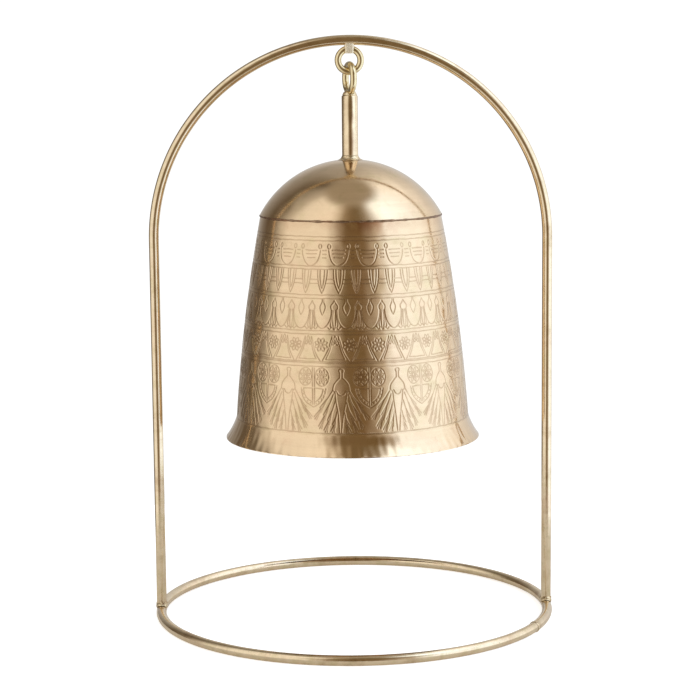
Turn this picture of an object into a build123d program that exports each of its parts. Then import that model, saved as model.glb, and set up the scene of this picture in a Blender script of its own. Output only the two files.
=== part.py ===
"""Brass bell that hangs by two wire rings in a hoop stand.

Millimetres, +Z up. The origin is on the table under the middle of the bell, and the arch
stands in the XZ plane. The bell, its rings and its clapper share the Z axis at rest.
"""
from build123d import *
import math
import os

# Hoop stand: one round rod bent to a ring on the table, one bent to an arch over it
ROD_D = 6.0              # round rod of the ring and the arch
HOOP_R = 115.6           # centreline radius of the base ring and of the arch's round top
LEG_TOP_Z = 224.6        # where the straight legs turn into the round top
FOOT_FLAT = 0.15         # depth dressed off under the base ring, so that it sits flat
LEG_COPE = 1.2           # how far above the base rod's centre the coped leg ends
BUTT_GAP = 0.8           # gap between the base ring's two ends, filled with braze
BUTT_ANGLE = -27.0       # where that joint is, in degrees from +X
BUTT_BEAD = 0.35         # how far the dressed bead stands out over that joint
FOOT_BEAD = 0.6          # how far the braze at a leg's foot stands out from the rod
FOOT_BEAD_REACH = 2.5    # how far it runs along the base ring on each side of the leg

# Rings that carry the bell
WIRE_D = 4.0             # wire of both rings
HANGER_R = 6.6           # centreline radius of the ring fixed under the arch
LINK_R = 7.95            # centreline radius of the ring on the stem
LINK_TURN = 16.0         # turn of the stem's ring about Z, from the YZ plane
RING_END_GAP = 0.6       # gap between a wire ring's ends, filled with braze
ARCH_TO_HANGER = 0.1     # film of braze between the arch and the hanger ring
RING_CLEARANCE = 0.15    # free space where one ring rests in another
BLOCK_SKIN = 0.6         # thickness of the braze block on each side of the wire
BLOCK_BELOW_WIRE = 0.5   # how far the block wraps under the hanger ring's wire
BLOCK_INTO_ARCH = 1.0    # how far the block climbs round the arch's rod
BLOCK_CORNER = 1.2       # rounding of the block's upright corners

# Stem
STEM_D = 9.5
STEM_LENGTH = 37.7       # from the top of the crown to the stem's top
STEM_TOP_CHAMFER = 1.2
STEM_SADDLE = 0.85       # how deep the link ring sits in the stem's top
STEM_FILLET = 2.6        # width and height of the braze round the stem's foot
LINK_BEAD_IN = 0.35      # how far inside the stem's edge the braze dome on top ends
LINK_BEAD_SUNK = 1.6     # how far below the stem's top that dome has its centre
TENON_D = 6.0            # reduced end of the stem that passes through the crown
TENON_CLEARANCE = 0.1
TENON_HEAD = 1.6         # how far the peened head stands out round the tenon
TENON_HEAD_H = 2.0

# Bell
SHEET = 1.5              # thickness of the cap and the wall
DOME_R = 60.5            # outer radius of the round cap
CAP_HEIGHT = 32.5        # from the top of the crown down to the middle of the seam
SEAM_WIDTH = 1.0         # height of the brazed seam between cap and wall
SEAM_PROUD = 0.3         # how far its bead stands out
SEAM_STEP = 0.17         # how far the cap's rim overhangs the wall
WALL_HEIGHT = 117.9      # from the seam down to where the lip begins
WALL_MID_R = 62.8        # outer radius of the wall halfway up
WALL_BOTTOM_R = 68.7     # outer radius of the wall where the lip begins
LIP_HEIGHT = 12.7        # height of the flared lip
FLARE_MID_R = 71.3       # the flared lip passes this radius halfway down
LIP_R = 75.3             # outer radius of the lip's edge

# Inside the crown
WASHER_T = 1.5
WASHER_EDGE = 2.3        # width of the washer outside the staple's braze
STAPLE_WIRE_D = 2.5      # wire of the staple and of the loose link
STAPLE_CLEARANCE = 0.35  # free space between the staple's legs and the peened head
STAPLE_DROP = 9.1        # from the top of the crown to the centre of the staple's round end
STAPLE_BEAD = 1.25       # how far the braze stands out round the staple's legs
STAPLE_BEAD_H = 2.2
BEAD_EDGE = 0.1          # thickness of that braze where it thins out on the wire
CLAPPER_LINK_R = 5.5     # centreline radius of the loose link
LINK_END_GAP = 0.4       # gap between the loose link's ends

# Clapper
CLAPPER_ROD_D = 4.0
CLAPPER_EYE_R = 5.2      # centreline radius of the eye bent on the rod
BALL_R = 12.5
BALL_ABOVE_LIP = 19.3    # height of the ball's centre above the lip's edge
ROD_END_BELOW_BALL = 1.0 # how far the peened end of the rod shows under the ball

MARGIN = 1.0             # how far a cutting tool runs past what it cuts

# Radii that follow
ROD_R = ROD_D / 2
WIRE_R = WIRE_D / 2
STEM_R = STEM_D / 2
STAPLE_WIRE_R = STAPLE_WIRE_D / 2
CLAPPER_ROD_R = CLAPPER_ROD_D / 2
TENON_HOLE_R = TENON_D / 2 + TENON_CLEARANCE
TENON_HEAD_R = TENON_D / 2 + TENON_HEAD
DOME_INNER_R = DOME_R - SHEET
WASHER_INNER_R = DOME_INNER_R - WASHER_T
STAPLE_R = TENON_HEAD_R + STAPLE_CLEARANCE + STAPLE_WIRE_R
STAPLE_BEAD_R = STAPLE_WIRE_R + STAPLE_BEAD
WASHER_R = STAPLE_R + STAPLE_BEAD_R + WASHER_EDGE

# Heights that follow, from the arch down to the clapper's ball
BASE_Z = ROD_R - FOOT_FLAT
ARCH_TOP_Z = LEG_TOP_Z + HOOP_R
ARCH_UNDER_Z = ARCH_TOP_Z - ROD_R
HANGER_Z = ARCH_UNDER_Z - ARCH_TO_HANGER - WIRE_R - HANGER_R
HINGE_Z = HANGER_Z - HANGER_R
LINK_Z = HINGE_Z + WIRE_D + RING_CLEARANCE - LINK_R
STEM_TOP_Z = LINK_Z - LINK_R - WIRE_R + STEM_SADDLE
CROWN_Z = STEM_TOP_Z - STEM_LENGTH
DOME_CENTRE_Z = CROWN_Z - DOME_R
SEAM_Z = CROWN_Z - CAP_HEIGHT
CAP_RIM_Z = SEAM_Z + SEAM_WIDTH / 2
WALL_TOP_Z = SEAM_Z - SEAM_WIDTH / 2
WALL_BOTTOM_Z = WALL_TOP_Z - WALL_HEIGHT
LIP_Z = WALL_BOTTOM_Z - LIP_HEIGHT
CAP_RIM_R = math.sqrt(DOME_R ** 2 - (CAP_RIM_Z - DOME_CENTRE_Z) ** 2)
WALL_TOP_R = CAP_RIM_R - SEAM_STEP
STAPLE_Z = CROWN_Z - STAPLE_DROP
STAPLE_HINGE_Z = STAPLE_Z - STAPLE_R
LINK_TOP_Z = STAPLE_HINGE_Z + STAPLE_WIRE_D + RING_CLEARANCE
CLAPPER_HINGE_Z = LINK_TOP_Z - 2 * CLAPPER_LINK_R
EYE_TOP_Z = CLAPPER_HINGE_Z + STAPLE_WIRE_R + CLAPPER_ROD_R + RING_CLEARANCE
CLAPPER_EYE_Z = EYE_TOP_Z - CLAPPER_EYE_R
BALL_Z = LIP_Z + BALL_ABOVE_LIP


def save(name, shape):
    """Write one piece, or one group of like pieces, to its own file."""
    export_step(shape, f"parts/{name}.step")


def upright(radius, bottom, top):
    """Solid round bar on the Z axis between two heights."""
    return Pos(0, 0, (bottom + top) / 2) * Cylinder(radius, top - bottom)


def wire_ring(centreline_r, wire_d, gap=0.0, gap_angle=0.0):
    """Round wire bent to a ring about Z, open by gap where gap_angle points."""
    opening = math.degrees(gap / centreline_r)
    section = Plane.XZ * Pos(centreline_r, 0) * Circle(wire_d / 2)
    return Rot(0, 0, gap_angle + opening / 2) * revolve(section, Axis.Z, 360 - opening)


def in_xz(height, ring):
    """Stand a ring up in the XZ plane, its +Y side at the top."""
    return Pos(0, 0, height) * Rot(90, 0, 0) * ring


def in_yz(height, ring, turn=0.0):
    """Stand a ring up in the YZ plane, its +X side at the bottom, and turn it about Z."""
    return Pos(0, 0, height) * Rot(0, 0, turn) * (Rot(0, 90, 0) * ring)


def spheroid(half_length, radius):
    """Egg-shaped bead along Y, half_length each way and radius thick."""
    half = Plane.YZ * (Ellipse(half_length, radius) & Pos(0, radius) * Rectangle(3 * half_length, 2 * radius))
    return revolve(half, Axis.Y, 360)


def below_table():
    """Everything under the table, to dress the stand's underside flat."""
    side = 3 * HOOP_R
    return Pos(0, 0, -ROD_D) * Box(side, side, 2 * ROD_D)


# Stand

def whole_base_rod():
    return Pos(0, 0, BASE_Z) * wire_ring(HOOP_R, ROD_D) - below_table()


def base_ring():
    return Pos(0, 0, BASE_Z) * wire_ring(HOOP_R, ROD_D, BUTT_GAP, BUTT_ANGLE) - below_table()


def base_ring_braze():
    """Dressed bead over the base ring's butt joint, with the filled gap inside it."""
    bead = Rot(0, 0, BUTT_ANGLE) * Pos(HOOP_R, 0, BASE_Z) * Sphere(ROD_R + BUTT_BEAD)
    return bead - base_ring() - below_table()


def arch_rod():
    """Inverted U: two straight legs coped over the base ring, and a half circle above."""
    foot_z = BASE_Z + LEG_COPE
    left = Line((-HOOP_R, 0, foot_z), (-HOOP_R, 0, LEG_TOP_Z))
    top = ThreePointArc((-HOOP_R, 0, LEG_TOP_Z), (0, 0, ARCH_TOP_Z), (HOOP_R, 0, LEG_TOP_Z))
    right = Line((HOOP_R, 0, LEG_TOP_Z), (HOOP_R, 0, foot_z))
    section = Pos(-HOOP_R, 0, foot_z) * Circle(ROD_R)
    return sweep(section, path=left + top + right) - whole_base_rod()


def foot_braze(side):
    """Braze saddle round a leg's foot; side is -1 for the left leg and 1 for the right."""
    radius = ROD_R + FOOT_BEAD
    bead = spheroid(ROD_R + FOOT_BEAD_REACH, radius)
    return Pos(side * HOOP_R, 0, BASE_Z + radius * 0.7) * bead - whole_base_rod() - arch_rod()


def hanger_ring():
    return in_xz(HANGER_Z, wire_ring(HANGER_R, WIRE_D, RING_END_GAP, 90))


def hanger_ring_braze():
    """Block of braze between the arch and the hanger ring, which also closes the ring."""
    bottom = HANGER_Z + HANGER_R - WIRE_R - BLOCK_BELOW_WIRE
    top = ARCH_UNDER_Z + BLOCK_INTO_ARCH
    width = WIRE_D + 2 * BLOCK_SKIN
    block = Pos(0, 0, (bottom + top) / 2) * Box(width, width, top - bottom)
    block = fillet(block.edges().filter_by(Axis.Z), BLOCK_CORNER)
    return block - hanger_ring() - arch_rod()


# Bell

def link_ring():
    return in_yz(LINK_Z, wire_ring(LINK_R, WIRE_D, RING_END_GAP, 0), LINK_TURN)


def link_ring_braze():
    """Low dome of braze over the stem's end that closes and holds the link ring."""
    bead = Pos(0, 0, STEM_TOP_Z - LINK_BEAD_SUNK) * Sphere(STEM_R - LINK_BEAD_IN)
    return bead - link_ring() - stem()


def crown_ball(radius):
    """Solid ball about the cap's centre, for everything that follows the crown."""
    return Pos(0, 0, DOME_CENTRE_Z) * Sphere(radius)


def stem():
    """Bar that stands on the crown, with its tenon and peened head inside the bell."""
    bar = upright(STEM_R, DOME_CENTRE_Z, STEM_TOP_Z)
    bar = chamfer(bar.edges().group_by(Axis.Z)[-1], STEM_TOP_CHAMFER)
    bar -= crown_ball(DOME_R)
    bar -= in_yz(LINK_Z, wire_ring(LINK_R, WIRE_D), LINK_TURN)
    head_top = DOME_CENTRE_Z + WASHER_INNER_R
    tenon = upright(TENON_D / 2, head_top - TENON_HEAD_H, CROWN_Z + MARGIN)
    head = upright(TENON_HEAD_R, head_top - TENON_HEAD_H, head_top + MARGIN)
    head = fillet(head.edges().group_by(Axis.Z)[0], TENON_HEAD_H / 2) & crown_ball(WASHER_INNER_R)
    return bar + tenon + head


def stem_braze():
    """Hollow fillet of braze round the stem's foot."""
    foot_z = DOME_CENTRE_Z + math.sqrt(DOME_R ** 2 - STEM_R ** 2)
    rim_r = STEM_R + STEM_FILLET
    rim_z = DOME_CENTRE_Z + math.sqrt(DOME_R ** 2 - rim_r ** 2)
    waist = (STEM_R + STEM_FILLET * 0.33, foot_z + STEM_FILLET * 0.3)
    outline = Plane.XZ * make_face(
        Line((0, rim_z - MARGIN), (rim_r, rim_z - MARGIN))
        + Line((rim_r, rim_z - MARGIN), (rim_r, rim_z))
        + ThreePointArc((rim_r, rim_z), waist, (STEM_R, foot_z + STEM_FILLET))
        + Line((STEM_R, foot_z + STEM_FILLET), (0, foot_z + STEM_FILLET))
        + Line((0, foot_z + STEM_FILLET), (0, rim_z - MARGIN))
    )
    return revolve(outline, Axis.Z, 360) - crown_ball(DOME_R) - stem()


def bell_dome():
    """Spun cap: a shell of even thickness, cut off level at the seam."""
    cap = crown_ball(DOME_R) - crown_ball(DOME_INNER_R)
    below = Pos(0, 0, CAP_RIM_Z - 2 * DOME_R) * Box(4 * DOME_R, 4 * DOME_R, 4 * DOME_R)
    hole = upright(TENON_HOLE_R, DOME_CENTRE_Z, CROWN_Z + MARGIN)
    return cap - below - hole


def wall_points():
    """Outer wall from the seam to the lip: (radius, height, slope of the wall in degrees)."""
    mid_z = (WALL_TOP_Z + WALL_BOTTOM_Z) / 2
    top_slope = math.degrees(math.atan2(WALL_MID_R - WALL_TOP_R, WALL_TOP_Z - mid_z))
    low_slope = math.degrees(math.atan2(WALL_BOTTOM_R - WALL_MID_R, mid_z - WALL_BOTTOM_Z))
    mid_slope = (top_slope + low_slope) / 2
    flare_z = (WALL_BOTTOM_Z + LIP_Z) / 2
    lip_slope = math.degrees(math.atan2(LIP_R - FLARE_MID_R, flare_z - LIP_Z))
    return [
        (WALL_TOP_R, WALL_TOP_Z, 2 * top_slope - mid_slope),
        (WALL_MID_R, mid_z, mid_slope),
        (WALL_BOTTOM_R, WALL_BOTTOM_Z, max(2 * low_slope - mid_slope, 0)),
        (FLARE_MID_R, flare_z, lip_slope * 0.8),
        (LIP_R, LIP_Z, lip_slope),
    ]


def bell_body():
    """Spun wall with its flared lip, of even thickness."""
    outer = [(r, z) for r, z, slope in wall_points()]
    inner = [(r - SHEET / math.cos(math.radians(slope)), z) for r, z, slope in wall_points()]
    outline = Plane.XZ * make_face(
        ThreePointArc(*outer[0:3])
        + ThreePointArc(*outer[2:5])
        + Line(outer[4], inner[4])
        + ThreePointArc(*inner[2:5])
        + ThreePointArc(*inner[0:3])
        + Line(inner[0], outer[0])
    )
    return revolve(outline, Axis.Z, 360)


def shoulder_braze():
    """Ring of braze in the seam between the cap and the wall, a little proud of both."""
    inner_r = math.sqrt(DOME_INNER_R ** 2 - (CAP_RIM_Z - DOME_CENTRE_Z) ** 2)
    bead_point = (CAP_RIM_R + SEAM_PROUD, SEAM_Z)
    outline = Plane.XZ * make_face(
        Line((inner_r, WALL_TOP_Z), (WALL_TOP_R, WALL_TOP_Z))
        + ThreePointArc((WALL_TOP_R, WALL_TOP_Z), bead_point, (CAP_RIM_R, CAP_RIM_Z))
        + Line((CAP_RIM_R, CAP_RIM_Z), (inner_r, CAP_RIM_Z))
        + Line((inner_r, CAP_RIM_Z), (inner_r, WALL_TOP_Z))
    )
    return revolve(outline, Axis.Z, 360)


# Inside the crown

def crown_washer():
    """Dished washer against the inside of the crown, under the peened tenon."""
    dish = crown_ball(DOME_INNER_R) - crown_ball(WASHER_INNER_R)
    hole = upright(TENON_HOLE_R, DOME_CENTRE_Z, CROWN_Z)
    return (dish & upright(WASHER_R, DOME_CENTRE_Z, CROWN_Z)) - hole


def clapper_eye():
    """Staple in the XZ plane, its two legs standing on the washer."""
    left = Line((-STAPLE_R, 0, CROWN_Z), (-STAPLE_R, 0, STAPLE_Z))
    bend = ThreePointArc((-STAPLE_R, 0, STAPLE_Z), (0, 0, STAPLE_HINGE_Z), (STAPLE_R, 0, STAPLE_Z))
    right = Line((STAPLE_R, 0, STAPLE_Z), (STAPLE_R, 0, CROWN_Z))
    section = Pos(-STAPLE_R, 0, CROWN_Z) * Circle(STAPLE_WIRE_R)
    wire = sweep(section, path=left + bend + right)
    return wire & crown_ball(WASHER_INNER_R)


def clapper_eye_braze():
    """Cone of braze round each leg of the staple, against the washer."""
    root_z = DOME_CENTRE_Z + math.sqrt(WASHER_INNER_R ** 2 - STAPLE_R ** 2)
    height = STAPLE_BEAD_H + MARGIN
    collar = Cone(STAPLE_WIRE_R + BEAD_EDGE, STAPLE_BEAD_R, height) - Cylinder(STAPLE_WIRE_R, 2 * height)
    beads = [Pos(side * STAPLE_R, 0, root_z + MARGIN - height / 2) * collar for side in (-1, 1)]
    beads = [(bead & crown_ball(WASHER_INNER_R)) - stem() for bead in beads]
    return Compound(children=[solid for bead in beads for solid in bead.solids()])


def clapper_link():
    centre_z = LINK_TOP_Z - CLAPPER_LINK_R
    gap_angle = 90
    return in_yz(centre_z, wire_ring(CLAPPER_LINK_R, STAPLE_WIRE_D, LINK_END_GAP, gap_angle))


# Clapper

def clapper_rod():
    """Rod with a closed eye at its top, its lower end peened under the ball."""
    end_z = BALL_Z - BALL_R - ROD_END_BELOW_BALL
    bar = upright(CLAPPER_ROD_R, end_z, CLAPPER_EYE_Z - CLAPPER_EYE_R)
    bar = chamfer(bar.edges().group_by(Axis.Z)[0], ROD_END_BELOW_BALL / 2)
    return bar + in_xz(CLAPPER_EYE_Z, wire_ring(CLAPPER_EYE_R, CLAPPER_ROD_D))


def clapper_ball():
    bore = upright(CLAPPER_ROD_R, BALL_Z - 2 * BALL_R, BALL_Z + 2 * BALL_R)
    return Pos(0, 0, BALL_Z) * Sphere(BALL_R) - bore


def main():
    os.makedirs("parts", exist_ok=True)
    save("base_ring", base_ring())
    save("base_ring_braze", base_ring_braze())
    save("arch_rod", arch_rod())
    save("foot_braze_left", foot_braze(-1))
    save("foot_braze_right", foot_braze(1))
    save("hanger_ring", hanger_ring())
    save("hanger_ring_braze", hanger_ring_braze())
    save("link_ring", link_ring())
    save("link_ring_braze", link_ring_braze())
    save("stem", stem())
    save("stem_braze", stem_braze())
    save("bell_dome", bell_dome())
    save("bell_body", bell_body())
    save("shoulder_braze", shoulder_braze())
    save("crown_washer", crown_washer())
    save("clapper_eye", clapper_eye())
    save("clapper_eye_braze", clapper_eye_braze())
    save("clapper_link", clapper_link())
    save("clapper_rod", clapper_rod())
    save("clapper_ball", clapper_ball())


main()
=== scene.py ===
"""Brass bell that hangs by two wire rings in a hoop stand.

Metres, +Z up. The origin is on the table under the middle of the bell, and the arch
stands in the XZ plane. Engraved strokes are laid out in millimetres on the unrolled wall.
"""
import math

import bmesh
import bpy
import numpy as np
from mathutils import Matrix, Vector, noise


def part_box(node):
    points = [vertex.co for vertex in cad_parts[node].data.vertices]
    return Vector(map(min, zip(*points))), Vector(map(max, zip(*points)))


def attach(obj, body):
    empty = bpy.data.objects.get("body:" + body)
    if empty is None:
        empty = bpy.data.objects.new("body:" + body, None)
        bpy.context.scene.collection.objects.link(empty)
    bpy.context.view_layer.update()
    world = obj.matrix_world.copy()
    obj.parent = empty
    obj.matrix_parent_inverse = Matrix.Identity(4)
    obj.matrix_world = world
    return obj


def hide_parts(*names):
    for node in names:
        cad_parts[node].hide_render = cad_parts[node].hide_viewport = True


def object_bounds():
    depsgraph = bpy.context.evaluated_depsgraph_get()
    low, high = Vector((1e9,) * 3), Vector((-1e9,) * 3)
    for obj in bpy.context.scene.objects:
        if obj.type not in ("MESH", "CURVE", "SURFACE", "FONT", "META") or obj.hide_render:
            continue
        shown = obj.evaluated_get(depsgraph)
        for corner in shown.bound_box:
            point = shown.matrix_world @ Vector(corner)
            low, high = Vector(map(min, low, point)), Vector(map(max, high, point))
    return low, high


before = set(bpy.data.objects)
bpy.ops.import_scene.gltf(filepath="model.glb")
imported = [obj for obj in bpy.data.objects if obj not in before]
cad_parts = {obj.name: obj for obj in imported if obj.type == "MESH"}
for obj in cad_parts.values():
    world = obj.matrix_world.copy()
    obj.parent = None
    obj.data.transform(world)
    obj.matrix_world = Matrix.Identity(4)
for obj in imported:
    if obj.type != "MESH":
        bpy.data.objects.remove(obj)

cad_low, cad_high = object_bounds()
MM = 0.001
MERGE = 0.002 * MM            # points nearer than this are joined

# Stand
ROD_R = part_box("arch_rod")[1].y
HOOP_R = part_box("arch_rod")[1].x - ROD_R
LEG_TOP_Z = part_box("arch_rod")[1].z - ROD_R - HOOP_R
BASE_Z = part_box("base_ring")[1].z - ROD_R
LEG_FOOT_Z = BASE_Z + 0.4 * ROD_R
BUTT_ANGLE = math.radians(-27)
BUTT_GAP = 0.8 * MM
ROD_SIDES = 28
ROD_STEP = 1.5 * MM
ROD_RUB = 0.05 * MM           # depth of the hand-rubbed unevenness on the rods and rings

# Wire rings
WIRE_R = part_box("hanger_ring")[1].y
HANGER_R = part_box("hanger_ring")[1].x - WIRE_R
HANGER_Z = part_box("hanger_ring")[0].z + WIRE_R + HANGER_R
LINK_R = 7.95 * MM
LINK_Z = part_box("link_ring")[1].z - WIRE_R - LINK_R
LINK_TURN = math.radians(16)
RING_GAP = 0.6 * MM
CLAPPER_WIRE_R = 1.25 * MM
CLAPPER_LINK_R = 5.5 * MM
CLAPPER_LINK_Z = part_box("clapper_link")[1].z - CLAPPER_WIRE_R - CLAPPER_LINK_R
CLAPPER_LINK_GAP = 0.4 * MM

# Bell
SHEET = 1.5 * MM
DOME_R = 60.5 * MM
CROWN_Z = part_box("bell_dome")[1].z
CAP_RIM_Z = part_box("bell_dome")[0].z
DOME_CENTRE_Z = CROWN_Z - DOME_R
CAP_RIM_R = math.sqrt(DOME_R ** 2 - (CAP_RIM_Z - DOME_CENTRE_Z) ** 2)
CROWN_HOLE_R = 3.1 * MM
WALL_TOP_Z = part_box("bell_body")[1].z
LIP_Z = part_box("bell_body")[0].z
LIP_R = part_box("bell_body")[1].x
SEAM_Z = (WALL_TOP_Z + CAP_RIM_Z) / 2
LIP_HEIGHT = 12.7 * MM
WALL_BOTTOM_Z = LIP_Z + LIP_HEIGHT
SEAM_STEP = 0.17 * MM         # how far the cap's rim overhangs the wall
WALL_TOP_R = CAP_RIM_R - SEAM_STEP
WALL_MID_R = 62.8 * MM
WALL_BOTTOM_R = 68.7 * MM
FLARE_MID_R = 71.3 * MM
LIP_ROUNDING = 0.35 * MM
WALL_SHEETS = 1.01            # thickness of the wall in sheets
LIP_THICKENING = 0.19         # what the lip's edge has on top of that, in sheets
CAP_DENTS = 0.02 * MM
SEAM_BEAD_DEPTH = 1.8 * MM    # from the bead's outside to its inside
SECTORS = 12                  # a full turn is spun as one sector, then copied round
WALL_COLUMNS = 1260
WALL_ROW = 0.3 * MM
CAP_COLUMNS = 480

# Engraving, in millimetres
BORDERS = ((8.4, 10.6), (24.8, 26.5), (40.8, 42.8), (60.8, 62.8), (78.8, 80.8), (118.2,))
LIP_STARTS = BORDERS[-1][0] + 1.2     # depth under the seam where the lip's own piece begins
GROOVE_HALF = 0.28            # distance at which a groove has lost two thirds of its depth
GROOVE_DEPTH = 0.15
BURR_AT = 0.62                # distance of the raised burr from the stroke
BURR_HALF = 0.2
BURR_HEIGHT = 0.022
STROKE_REACH = 1.3            # a stroke is only worked out this near to it
PLAIN = 9.0                   # stands for "no stroke near"
LEVEL_WAVER = 0.22            # how far a hand-cut line wanders up or down
TURN_WAVER = 0.45             # and sideways
HAMMERING = 0.055             # depth of the soft dents in the engraved wall
STRIP_DENTS = 0.012
LIP_DENTS = 0.20


# Making and placing meshes

def add_piece(bm, name, body, nodes, finish, crease=40, turned_out=True):
    """Close off a mesh, give it its finish, hang it on its body and hide the frame parts it stands for."""
    if turned_out:
        bmesh.ops.recalc_face_normals(bm, faces=bm.faces)
    mesh = bpy.data.meshes.new(name)
    bm.to_mesh(mesh)
    bm.free()
    mesh.shade_smooth()
    mesh.set_sharp_from_angle(angle=math.radians(crease))
    mesh.materials.append(finish)
    piece = bpy.data.objects.new(name, mesh)
    bpy.context.scene.collection.objects.link(piece)
    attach(piece, body)
    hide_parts(*nodes)
    return piece


def turned(outline, columns):
    """A closed outline of (radius, height) points, spun a full turn about the bell's axis."""
    bm = bmesh.new()
    verts = [bm.verts.new((r, 0, z)) for r, z in outline]
    edges = [bm.edges.new(pair) for pair in zip(verts, verts[1:] + verts[:1])]
    sector = math.tau / SECTORS
    bmesh.ops.spin(bm, geom=verts + edges, cent=(0, 0, 0), axis=(0, 0, 1),
                   angle=sector, steps=columns // SECTORS)
    bmesh.ops.spin(bm, geom=bm.verts[:] + bm.edges[:] + bm.faces[:], cent=(0, 0, 0), axis=(0, 0, 1),
                   angle=math.tau - sector, steps=SECTORS - 1, use_duplicate=True)
    bmesh.ops.remove_doubles(bm, verts=bm.verts, dist=MERGE)
    return bm


def swept(bm, section, steps, angle=0.0, centre=(0, 0, 0), axis=(0, 0, 1), rise=(0, 0, 0)):
    """Carry a section on along an arc or a straight run, and return its far end."""
    made = bmesh.ops.spin(bm, geom=section, cent=centre, axis=axis, dvec=rise,
                          angle=angle, steps=steps)
    return made["geom_last"]


def rod_section(bm, radius, sides, place):
    """Round section across the Z axis, at a place."""
    made = bmesh.ops.create_circle(bm, segments=sides, radius=radius,
                                   matrix=Matrix.Translation(place))
    edges = {edge for vert in made["verts"] for edge in vert.link_edges}
    return made["verts"] + list(edges)


def close_ends(bm):
    """Cap the open ends of a rod."""
    open_edges = [edge for edge in bm.edges if edge.is_boundary]
    bmesh.ops.holes_fill(bm, edges=open_edges)


def rub(bm, depth, grain, seed):
    """Sink the surface unevenly by up to a depth, in soft patches of a grain's size."""
    bm.normal_update()
    shift = Vector((seed, 2 * seed, 3 * seed))
    sunk = [(vert, vert.normal * (noise.noise(vert.co / grain + shift) - 1) * depth / 2)
            for vert in bm.verts]
    for vert, move in sunk:
        vert.co += move


def from_frame(node, voxel=0.0, lump=0.0, grain=1.0, seed=0.0, lift=0.0):
    """A merged copy of a frame part.

    With a voxel size it is remeshed, and with a depth of lumps it is also made lumpy, raised or
    sunk by the lift, and kept inside the frame's box.
    """
    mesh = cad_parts[node].data.copy()
    mesh.materials.clear()
    bm = bmesh.new()
    bm.from_mesh(mesh)
    bmesh.ops.remove_doubles(bm, verts=bm.verts, dist=MERGE)
    if not voxel:
        return bm
    bm.to_mesh(mesh)
    bm.free()
    helper = bpy.data.objects.new(node + "_blank", mesh)
    bpy.context.scene.collection.objects.link(helper)
    skin = helper.modifiers.new("skin", "REMESH")
    skin.mode = "VOXEL"
    skin.voxel_size = voxel
    skin.use_smooth_shade = True
    evaluated = helper.evaluated_get(bpy.context.evaluated_depsgraph_get())
    even = bpy.data.meshes.new_from_object(evaluated)
    bm = bmesh.new()
    bm.from_mesh(even)
    bpy.data.objects.remove(helper)
    bpy.data.meshes.remove(even)
    for _ in range(2):
        bmesh.ops.smooth_vert(bm, verts=bm.verts, factor=0.5,
                              use_axis_x=True, use_axis_y=True, use_axis_z=True)
    if lump:
        bm.normal_update()
        shift = Vector((seed, seed, seed))
        for vert in bm.verts:
            swell = noise.fractal(vert.co / grain + shift, 0.9, 2.1, 3)
            vert.co += vert.normal * (swell * lump + lift)
            vert.co = [min(max(at, low), high) for at, low, high in zip(vert.co, cad_low, cad_high)]
    return bm


# Finishes

def put(tree, kind, wires=(), **settings):
    """Add a node with its settings, and its inputs wired or given their values."""
    made = tree.nodes.new(kind)
    for key, value in settings.items():
        setattr(made, key, value)
    for key, value in dict(wires).items():
        if isinstance(value, bpy.types.NodeSocket):
            tree.links.new(value, made.inputs[key])
        else:
            made.inputs[key].default_value = value
    return made


def new_group(name, takes, gives):
    """An empty node group with named inputs and outputs, and its two end nodes."""
    tree = bpy.data.node_groups.new(name, "ShaderNodeTree")
    for label, kind, value in takes:
        socket = tree.interface.new_socket(label, in_out="INPUT", socket_type=kind)
        if value is not None:
            socket.default_value = value
    for label, kind in gives:
        tree.interface.new_socket(label, in_out="OUTPUT", socket_type=kind)
    return tree, tree.nodes.new("NodeGroupInput").outputs, tree.nodes.new("NodeGroupOutput").inputs


def patches_group():
    """Soft-edged patches of a size, over a share of the surface."""
    tree, taken, given = new_group(
        "patches",
        (("Place", "NodeSocketVector", None), ("Size", "NodeSocketFloat", 0.01),
         ("Share", "NodeSocketFloat", 0.5), ("Softness", "NodeSocketFloat", 0.15)),
        (("Mask", "NodeSocketFloat"),))
    density = put(tree, "ShaderNodeMath", {0: 1.0, 1: taken["Size"]}, operation="DIVIDE")
    cloud = put(tree, "ShaderNodeTexNoise",
                {"Vector": taken["Place"], "Scale": density.outputs[0], "Detail": 4.0, "Roughness": 0.6})
    level = put(tree, "ShaderNodeMath", {0: 1.0, 1: taken["Share"]}, operation="SUBTRACT")
    low = put(tree, "ShaderNodeMath", {0: level.outputs[0], 1: taken["Softness"]}, operation="SUBTRACT")
    high = put(tree, "ShaderNodeMath", {0: level.outputs[0], 1: taken["Softness"]}, operation="ADD")
    mask = put(tree, "ShaderNodeMapRange",
               {"Value": cloud.outputs["Fac"], "From Min": low.outputs[0], "From Max": high.outputs[0]},
               interpolation_type="SMOOTHSTEP")
    tree.links.new(mask.outputs["Result"], given["Mask"])
    return tree


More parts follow.
